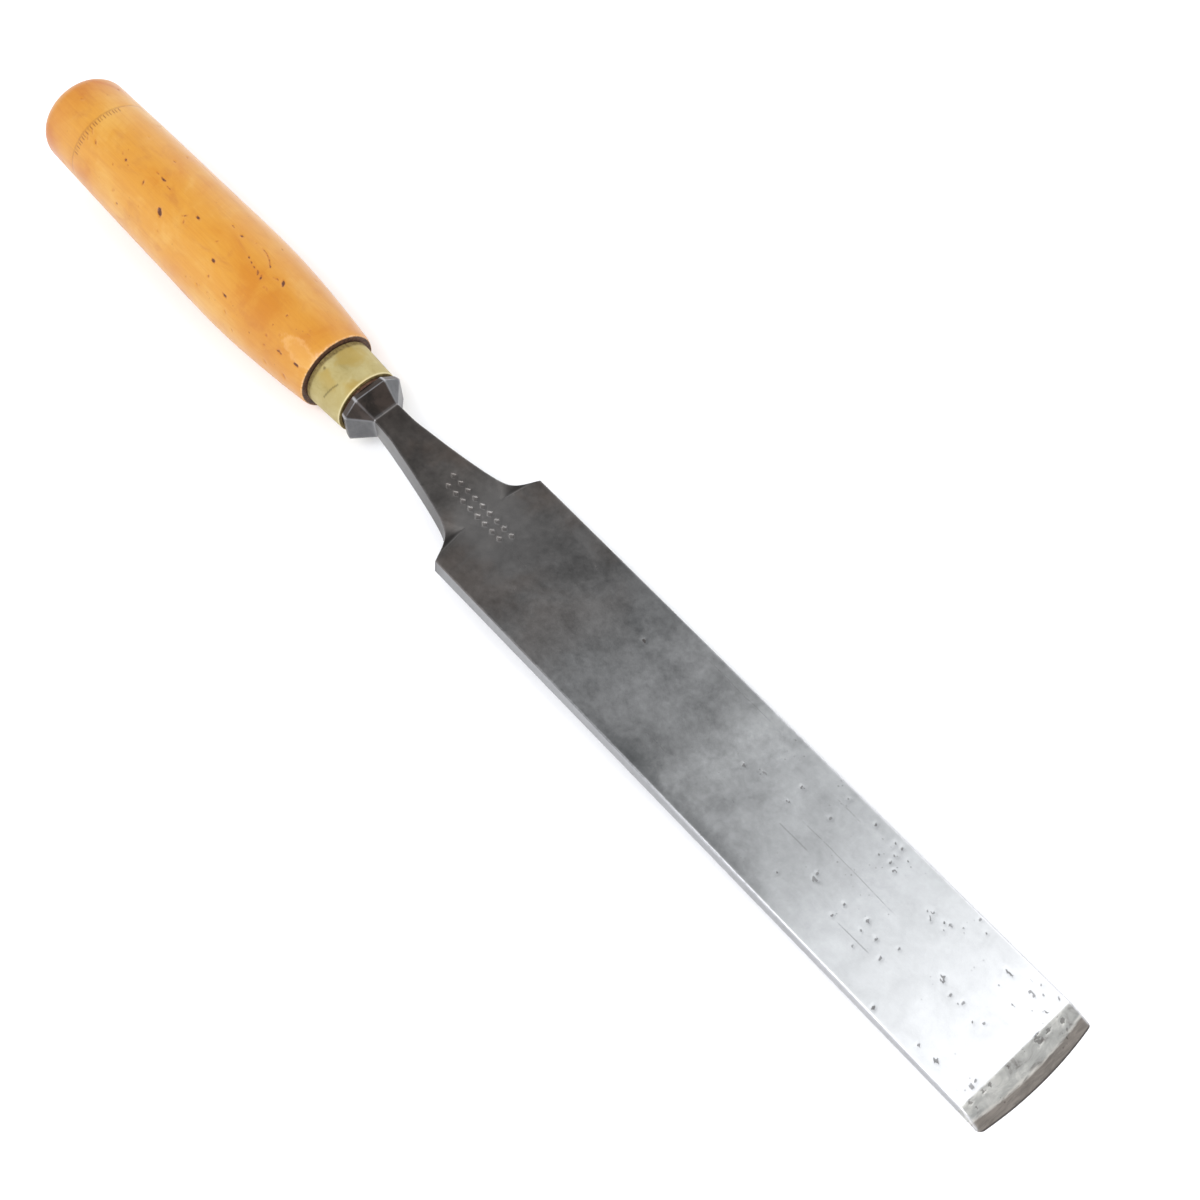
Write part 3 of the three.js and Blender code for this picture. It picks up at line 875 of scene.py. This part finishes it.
def steel_material():
    material = bpy.data.materials.new("aged_tool_steel")
    n = Nodes(material)
    place = n.tool_place()
    parts = n.add("ShaderNodeSeparateXYZ")
    n.put(parts.inputs[0], place)
    x, y, z = parts.outputs
    clouds = n.noise(place, 0.05, 6, 0.62, 0.6)
    blots = n.noise(place, 0.16, 5, 0.6, 0.5)
    fine = n.noise(place, 0.55, 7, 0.65, 0.2)
    streaks = n.noise(n.stretched(place, (0.02, 0.35, 0.35)), 1.0, 6, 0.6)
    hair = n.noise(n.stretched(place, (0.05, 3.0, 3.0), 2.0), 1.0, 3, 0.6)
    slant = n.noise(n.stretched(place, (0.12, 3.6, 3.6), 38.0), 1.0, 2, 0.5)

    # Patina: brown-black at the neck and shoulders, thinner and cooler towards the edge. The ramp
    # along the blade is partly that patina and partly painted reflection, lighter towards the edge,
    # with a painted reflection step between x = 80 and 92 mm
    along = n.math("MULTIPLY_ADD", x, 1 / 250.0, 50 / 250.0)
    colour = n.ramp(along, [
        (0.00, (0.060, 0.052, 0.047)),
        (0.16, (0.100, 0.093, 0.088)),
        (0.30, (0.122, 0.119, 0.117)),
        (0.41, (0.165, 0.167, 0.168)),
        (0.46, (0.190, 0.193, 0.195)),
        (0.52, (0.192, 0.196, 0.198)),
        (0.57, (0.296, 0.303, 0.307)),
        (0.61, (0.265, 0.272, 0.277)),
        (0.68, (0.272, 0.280, 0.286)),
        (0.78, (0.332, 0.342, 0.352)),
        (1.00, (0.420, 0.428, 0.440)),
    ])
    mottled = n.math("MULTIPLY", n.math("SUBTRACT", clouds, 0.5), 0.75)
    mottled = n.math("MULTIPLY_ADD", n.math("SUBTRACT", blots, 0.5), 0.75, mottled)
    mottled = n.math("MULTIPLY_ADD", n.math("SUBTRACT", streaks, 0.5), 0.2, mottled)
    mottled = n.math("MULTIPLY_ADD", n.math("SUBTRACT", fine, 0.5), 0.55, mottled)
    mottled = n.math("MULTIPLY_ADD", mottled, n.span(x, 60.0, 150.0, 1.0, 0.5), 1.0)
    middle = n.math("MULTIPLY", n.span(x, 50.0, 75.0), n.span(x, 140.0, 105.0))
    # Painted light: in the middle of the blade the colour is lighter towards +Y and darker towards -Y
    painted_side_light = n.math("MULTIPLY", n.math("MULTIPLY", y, 0.010), middle)
    mottled = n.math("ADD", mottled, painted_side_light)
    grey = n.add("ShaderNodeCombineColor")
    for socket in grey.inputs:
        n.put(socket, mottled)
    colour = n.mix(1.0, colour, grey.outputs[0], "MULTIPLY")
    away = n.math("ABSOLUTE", y)
    rubbed = n.math("MULTIPLY", n.span(away, 15.0, 5.0), n.span(x, 24.0, 6.0))
    rubbed = n.math("MULTIPLY", rubbed, n.span(x, -14.0, -3.0))
    colour = n.mix(n.math("MULTIPLY", rubbed, 0.6), colour, (0.185, 0.180, 0.176, 1))
    # Painted shade: a darker, ragged strip along the -Y edge in the middle of the blade
    painted_edge_shade = n.span(n.math("MULTIPLY_ADD", blots, 5.0, y), -11.0, -15.5)
    painted_edge_shade = n.math("MULTIPLY", painted_edge_shade, middle)
    colour = n.mix(n.math("MULTIPLY", painted_edge_shade, 0.55), colour, (0.085, 0.088, 0.090, 1))
    brown = n.span(n.noise(place, 0.04, 4, 0.6, 0.3), 0.46, 0.64)
    brown = n.math("MULTIPLY", brown, n.span(x, 70.0, 0.0))
    colour = n.mix(n.math("MULTIPLY", brown, 0.3), colour, (0.13, 0.095, 0.075, 1))

    # Cleaner grey sides
    side = n.attribute("side")
    side_tone = n.ramp(along, [
        (0.030, (0.190, 0.188, 0.186)), (0.100, (0.130, 0.127, 0.124)), (0.165, (0.080, 0.076, 0.072)),
        (0.198, (0.045, 0.043, 0.041)), (0.203, (0.190, 0.189, 0.190)), (0.220, (0.245, 0.245, 0.248)),
        (0.300, (0.285, 0.286, 0.290)), (0.450, (0.320, 0.322, 0.327)), (0.660, (0.340, 0.343, 0.349)),
        (0.730, (0.345, 0.348, 0.354)), (0.810, (0.410, 0.412, 0.418)), (1.000, (0.390, 0.393, 0.400)),
    ])
    side_grain = n.ramp(fine, [(0.3, (0.88, 0.88, 0.88)), (0.7, (1.0, 1.0, 1.0))])
    side_tone = n.mix(1.0, side_tone, side_grain, "MULTIPLY")
    colour = n.mix(side, colour, side_tone)

    # Bevel: freshly ground and mottled, with a brown honed band at the edge
    camber = n.math("MULTIPLY", n.math("MULTIPLY", y, y), 1 / (2 * EDGE_RADIUS))
    from_edge = n.math("SUBTRACT", n.math("SUBTRACT", EDGE_X, camber), x)
    ground = n.span(x, BEVEL_TOP_X - 0.12, BEVEL_TOP_X + 0.12)
    blotch = n.noise(n.stretched(place, (0.25, 0.14, 0.2)), 1.0, 6, 0.65, 0.8)
    bevel = n.ramp(blotch, [
        (0.33, (0.19, 0.18, 0.172)), (0.5, (0.34, 0.34, 0.325)), (0.68, (0.47, 0.465, 0.44)),
    ])
    colour = n.mix(ground, colour, bevel)
    strokes = n.noise(n.stretched(place, (0.9, 0.16, 0.3)), 1.0, 5, 0.7, 0.6)
    honed = n.math("MULTIPLY", ground, n.span(from_edge, 3.5, 2.7))
    honed_tone = n.ramp(strokes, [(0.35, (0.145, 0.128, 0.112)), (0.65, (0.235, 0.205, 0.180))])
    colour = n.mix(n.math("MULTIPLY", honed, 0.92), colour, honed_tone)
    glint = n.math("MULTIPLY", n.span(from_edge, 2.6, 3.1), n.span(from_edge, 4.0, 3.3))
    glint = n.math("MULTIPLY", glint, n.span(strokes, 0.38, 0.6))
    colour = n.mix(n.math("MULTIPLY", glint, 0.6), colour, (0.66, 0.63, 0.58, 1))
    colour = n.mix(n.span(from_edge, 0.55, 0.25), colour, (0.09, 0.08, 0.075, 1))

    # Forge scale on the bolster, painted shade in the hollows, pits, scratches, and the arrises rubbed
    # bright with painted highlight
    facets = n.ramp(blots, [(0.35, (0.098, 0.098, 0.100)), (0.65, (0.135, 0.135, 0.138))])
    colour = n.mix(n.span(x, -43.0, -43.6), colour, facets)
    scale = n.ramp(blots, [(0.35, (0.024, 0.021, 0.019)), (0.65, (0.050, 0.039, 0.034))])
    colour = n.mix(n.attribute("facet"), colour, scale)
    band = n.math("MULTIPLY", n.span(x, -49.15, -49.4), n.span(x, -53.0, -52.0))
    colour = n.mix(band, colour, (0.070, 0.057, 0.050, 1))
    # Painted shade in the hollows ground into the shoulders
    colour = n.mix(n.math("MULTIPLY", n.attribute("hollow"), 0.75), colour, (0.026, 0.024, 0.023, 1))
    patches = n.span(n.noise(place, 0.09, 3, 0.5), 0.5, 0.68)
    tiny = n.math("MULTIPLY", n.specks(place, 0.55, 0.16), patches)
    tiny = n.math("MULTIPLY", tiny, n.span(x, 20.0, 110.0))
    grit = n.noise(place, 1.7, 3, 0.6)
    ragged = n.math("MULTIPLY_ADD", n.math("SUBTRACT", grit, 0.5), 1.1, n.attribute("dirt"))
    ragged = n.math("MULTIPLY", n.span(ragged, 0.42, 0.68), n.attribute("tone"))
    dirt = n.math("MAXIMUM", ragged, n.math("MULTIPLY", tiny, 0.5))
    breaks = n.span(n.noise(n.stretched(place, (0.5, 0.2, 0.2)), 1.0, 3), 0.3, 0.5)
    wander = n.math("MULTIPLY_ADD", n.math("SUBTRACT", n.noise(place, 0.08, 2), 0.5), 0.9, y)
    lines = 0.0
    for x0, x1, at, width in BLADE_SCRATCHES:
        lines = n.math("MAXIMUM", lines, line_mask(n, x, wander, x0, x1, at, width))
    lines = n.math("MULTIPLY", lines, breaks)
    top_only = n.span(z, 1.2, 1.6)
    dirt = n.math("MAXIMUM", dirt, n.math("MULTIPLY", n.math("MULTIPLY", lines, top_only), 0.3))
    colour = n.mix(n.math("MULTIPLY", dirt, 0.8), colour, (0.055, 0.048, 0.045, 1))
    # Arrises rubbed bright, partly real rubbing and partly painted highlight; on the neck and on the
    # blade up to x = 50 mm it is kept faint, and it is full from x = 105 mm on
    wear_and_highlight = n.math("MULTIPLY", n.attribute("wear_and_highlight"), n.span(fine, 0.3, 0.55, 0.55, 1.0))
    shown = n.math("MAXIMUM", n.span(x, 50.0, 105.0, 0.08, 1.0), n.span(x, -42.0, -44.0))
    wear_and_highlight = n.math("MULTIPLY", wear_and_highlight, shown)
    colour = n.mix(n.math("MULTIPLY", wear_and_highlight, 0.62), colour, (0.66, 0.66, 0.68, 1))

    roughness = n.math("MULTIPLY_ADD", n.math("SUBTRACT", clouds, 0.5), 0.22, 0.34)
    roughness = n.math("MULTIPLY_ADD", n.math("SUBTRACT", fine, 0.5), 0.16, roughness)
    roughness = n.math("MULTIPLY_ADD", dirt, 0.3, roughness)
    roughness = n.math("MULTIPLY_ADD", ground, 0.06, roughness, clamp=True)
    height = n.math("MULTIPLY_ADD", hair, 0.5, n.math("MULTIPLY", slant, 0.35))
    height = n.math("MULTIPLY_ADD", fine, 0.6, height)
    height = n.math("MULTIPLY_ADD", dirt, -2.0, height)
    normal = n.bump(height, 0.00002, 0.6)
    n.shader(colour, roughness, normal, Metallic=1.0)
    return material


def brass_material():
    material = bpy.data.materials.new("aged_brass")
    n = Nodes(material)
    place = n.tool_place()
    parts = n.add("ShaderNodeSeparateXYZ")
    n.put(parts.inputs[0], place)
    x, y, z = parts.outputs
    clouds = n.noise(place, 0.16, 5, 0.6, 0.5)
    fine = n.noise(place, 1.1, 6, 0.65)
    rings = n.noise(n.stretched(place, (3.2, 0.15, 0.15)), 1.0, 3, 0.6)
    colour = n.ramp(clouds, [
        (0.3, (0.295, 0.235, 0.085)), (0.5, (0.385, 0.316, 0.135)), (0.72, (0.435, 0.37, 0.18)),
    ])
    gold = n.span(n.noise(place, 0.12, 3, 0.5, 0.4), 0.44, 0.6)
    gold = n.math("MULTIPLY", gold, n.span(z, 8.0, 13.0))
    colour = n.mix(n.math("MULTIPLY", gold, 0.6), colour, (0.36, 0.24, 0.045, 1))
    colour = n.mix(n.span(fine, 0.55, 0.75, 0.0, 0.35), colour, (0.30, 0.23, 0.09, 1))
    band = n.attribute("band")
    band_tone = n.ramp(fine, [(0.3, (0.10, 0.065, 0.022)), (0.7, (0.26, 0.19, 0.07))])
    colour = n.mix(n.math("MULTIPLY", band, 0.9), colour, band_tone)
    colour = n.mix(n.math("MULTIPLY", n.attribute("mark"), 0.75), colour, (0.12, 0.085, 0.03, 1))
    colour = n.mix(n.math("MULTIPLY", n.attribute("rim"), 0.45), colour, (0.80, 0.74, 0.50, 1))
    roughness = n.math("MULTIPLY_ADD", n.math("SUBTRACT", clouds, 0.5), 0.15, 0.58)
    roughness = n.math("MULTIPLY_ADD", band, 0.15, roughness, clamp=True)
    height = n.math("MULTIPLY_ADD", rings, 0.4, n.math("MULTIPLY", fine, 0.8))
    n.shader(colour, roughness, n.bump(height, 0.00002, 0.6), Metallic=0.7)
    return material


def boxwood_material():
    material = bpy.data.materials.new("varnished_boxwood")
    n = Nodes(material)
    place = n.tool_place()
    parts = n.add("ShaderNodeSeparateXYZ")
    n.put(parts.inputs[0], place)
    x, y, z = parts.outputs
    clouds = n.noise(place, 0.045, 5, 0.6, 0.5)
    smudge = n.noise(n.stretched(place, (0.5, 1.0, 1.0)), 0.16, 6, 0.6, 0.8)
    grain = n.noise(n.stretched(place, (0.05, 1.6, 1.6)), 1.0, 5, 0.65, 0.1)
    fine = n.noise(place, 1.3, 5, 0.6)
    colour = n.ramp(clouds, [
        (0.32, (0.455, 0.175, 0.014)), (0.50, (0.500, 0.228, 0.026)), (0.70, (0.535, 0.285, 0.055)),
    ])
    colour = n.mix(n.span(grain, 0.35, 0.75, 0.0, 0.28), colour, (0.38, 0.135, 0.018, 1))
    colour = n.mix(n.span(smudge, 0.52, 0.74, 0.0, 0.42), colour, (0.35, 0.120, 0.024, 1))
    butt = n.math("MULTIPLY", n.span(x, -176.0, -189.0), n.span(clouds, 0.36, 0.56, 1.0, 0.45))
    colour = n.mix(n.math("MULTIPLY", butt, 0.75), colour, (0.38, 0.105, 0.010, 1))
    front = n.math("MULTIPLY", n.span(x, -112.0, -84.0), n.span(clouds, 0.34, 0.6, 1.0, 0.6))
    colour = n.mix(n.math("MULTIPLY", front, 0.34), colour, (0.36, 0.125, 0.012, 1))
    colour = n.mix(n.math("MULTIPLY", n.attribute("worn"), 0.3), colour, (0.58, 0.32, 0.09, 1))
    colour = n.mix(n.math("MULTIPLY", n.attribute("outline"), 0.22), colour, (0.70, 0.46, 0.22, 1))
    grit = n.math("SUBTRACT", n.noise(place, 1.1, 4, 0.65), 0.5)
    dark = n.attribute("dark")
    halo = n.math("MULTIPLY", n.span(n.math("MULTIPLY_ADD", grit, 0.5, dark), 0.05, 0.45), 0.5)
    colour = n.mix(halo, colour, (0.36, 0.105, 0.015, 1))
    core = n.span(n.math("MULTIPLY_ADD", grit, 1.3, dark), 0.36, 0.72)
    core = n.math("MULTIPLY", core, n.span(dark, 0.12, 0.3))
    colour = n.mix(n.math("MULTIPLY", core, 0.92), colour, (0.070, 0.022, 0.012, 1))
    cut = n.span(n.math("MULTIPLY_ADD", grit, 0.3, n.attribute("line")), 0.1, 0.6)
    colour = n.mix(n.math("MULTIPLY", cut, 0.75), colour, (0.15, 0.042, 0.010, 1))
    specks = n.math("MULTIPLY", n.specks(place, 0.30, 0.10), n.span(smudge, 0.45, 0.6))
    colour = n.mix(n.math("MULTIPLY", specks, 0.5), colour, (0.22, 0.07, 0.02, 1))
    step = n.attribute("step")
    step_tone = n.ramp(fine, [(0.3, (0.035, 0.016, 0.010)), (0.7, (0.10, 0.045, 0.022))])
    colour = n.mix(step, colour, step_tone)
    # Painted highlight along the arris of the barrel's front rim
    arris = n.math("MULTIPLY", n.attribute("arris"), n.span(grit, -0.1, 0.1, 0.05, 0.4))
    colour = n.mix(arris, colour, (0.78, 0.58, 0.38, 1))
    roughness = n.math("MULTIPLY_ADD", n.math("SUBTRACT", smudge, 0.5), 0.25, 0.40)
    roughness = n.math("MULTIPLY_ADD", dark, 0.35, roughness)
    roughness = n.math("MULTIPLY_ADD", step, 0.4, roughness, clamp=True)
    height = n.math("MULTIPLY_ADD", grain, 0.6, n.math("MULTIPLY", fine, 0.5))
    normal = n.bump(height, 0.00004, 0.5)
    n.shader(
        colour, roughness, normal,
        IOR=1.4, Coat_Weight=0.4, Coat_IOR=1.4, Coat_Roughness=0.18, Specular_IOR_Level=0.35,
    )
    return material


def floor_material():
    material = bpy.data.materials.new("pale_floor")
    n = Nodes(material)
    place = n.add("ShaderNodeTexCoord").outputs["Object"]
    colour = n.ramp(n.noise(place, 6.0, 3), [(0.3, (0.90, 0.90, 0.91)), (0.7, (0.915, 0.915, 0.92))])
    n.shader(colour, 0.6, None, Specular_IOR_Level=0.2)
    return material


# ------------------------------------------------------------------ pieces
forging = build_forging()
forging.data.materials.append(steel_material())
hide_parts("blade_forging")
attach(forging, "root")

ferrule = build_ferrule()
ferrule.data.materials.append(brass_material())
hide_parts("ferrule")
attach(ferrule, "root")

handle = build_handle()
handle.data.materials.append(boxwood_material())
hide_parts("handle")
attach(handle, "root")

# ------------------------------------------------------------------ stage
FLOOR_HALF = 6.0
floor_mesh = bpy.data.meshes.new("floor")
floor_mesh.from_pydata(
    [(sx * FLOOR_HALF, sy * FLOOR_HALF, 0) for sx, sy in ((-1, -1), (1, -1), (1, 1), (-1, 1))],
    [], [(0, 1, 2, 3)],
)
floor = bpy.data.objects.new("floor", floor_mesh)
floor.location.z = cad_box[0].z - 0.0002
floor_mesh.materials.append(floor_material())
bpy.context.scene.collection.objects.link(floor)


def area_light(name, place, target, width, height, power, colour):
    data = bpy.data.lights.new(name, "AREA")
    data.shape = "RECTANGLE"
    data.size, data.size_y = width, height
    data.energy = power
    data.color = colour
    light = bpy.data.objects.new(name, data)
    light.location = place
    aim = Vector(target) - Vector(place)
    light.rotation_euler = aim.to_track_quat("-Z", "Y").to_euler()
    bpy.context.scene.collection.objects.link(light)
    return light


area_light("overhead", (0.27, 0.40, 1.25), (0.12, 0.0, 0.0), 0.52, 0.9, 5.0, (1.0, 0.995, 0.99))
area_light("key", (-0.15, 1.5, 1.3), (0.0, 0.0, 0.0), 1.8, 1.2, 4, (1.0, 0.99, 0.975))
area_light("fill", (0.45, -1.0, 1.9), (0.0, 0.0, 0.0), 1.4, 1.0, 34, (0.98, 0.98, 1.0))

world = bpy.data.worlds.new("studio")
world.use_nodes = True
bpy.context.scene.world = world
tree = world.node_tree
tree.nodes.clear()
sky = tree.nodes.new("ShaderNodeTexCoord")
split = tree.nodes.new("ShaderNodeSeparateXYZ")
tree.links.new(sky.outputs["Generated"], split.inputs[0])
band = tree.nodes.new("ShaderNodeMapRange")
band.interpolation_type = "SMOOTHSTEP"
for socket, value in zip(band.inputs[1:5], (0.3, 0.88, 1.6, 0.5)):
    socket.default_value = value
tree.links.new(split.outputs[2], band.inputs[0])
background = tree.nodes.new("ShaderNodeBackground")
background.inputs["Color"].default_value = (0.95, 0.97, 1.0, 1)
tree.links.new(band.outputs[0], background.inputs["Strength"])
world_out = tree.nodes.new("ShaderNodeOutputWorld")
tree.links.new(background.outputs[0], world_out.inputs["Surface"])

# ------------------------------------------------------------------ camera
# Place in the tool's own frame: the point aimed at, the angles round it and the distance
AIM = (35.90, 7.86, 0.0)
AZIMUTH, ELEVATION, ROLL = (math.radians(a) for a in (51.141, 62.939, -2.976))
DISTANCE = 518.87
LENS = 59.04  # on a 36 mm sensor

back = Vector((
    math.sin(AZIMUTH) * math.cos(ELEVATION),
    -math.cos(AZIMUTH) * math.cos(ELEVATION),
    math.sin(ELEVATION),
))
level = Vector((math.cos(AZIMUTH), math.sin(AZIMUTH), 0))
upright = back.cross(level)
right = level * math.cos(ROLL) + upright * math.sin(ROLL)
up = upright * math.cos(ROLL) - level * math.sin(ROLL)
turn = Matrix((right, up, back)).transposed()
camera_data = bpy.data.cameras.new("camera")
camera_data.lens = LENS
camera_data.sensor_width = 36
camera_data.clip_start = 0.05
camera_data.clip_end = 50
camera = bpy.data.objects.new("camera", camera_data)
tilt = Matrix.Rotation(TILT, 3, "Y")
camera.rotation_mode = "QUATERNION"
camera.rotation_quaternion = (tilt @ turn).to_quaternion()
camera.location = TO_ROW @ (Vector(AIM) + back * DISTANCE)
bpy.context.scene.collection.objects.link(camera)
bpy.context.scene.camera = camera

bpy.context.scene.view_settings.view_transform = "Standard"
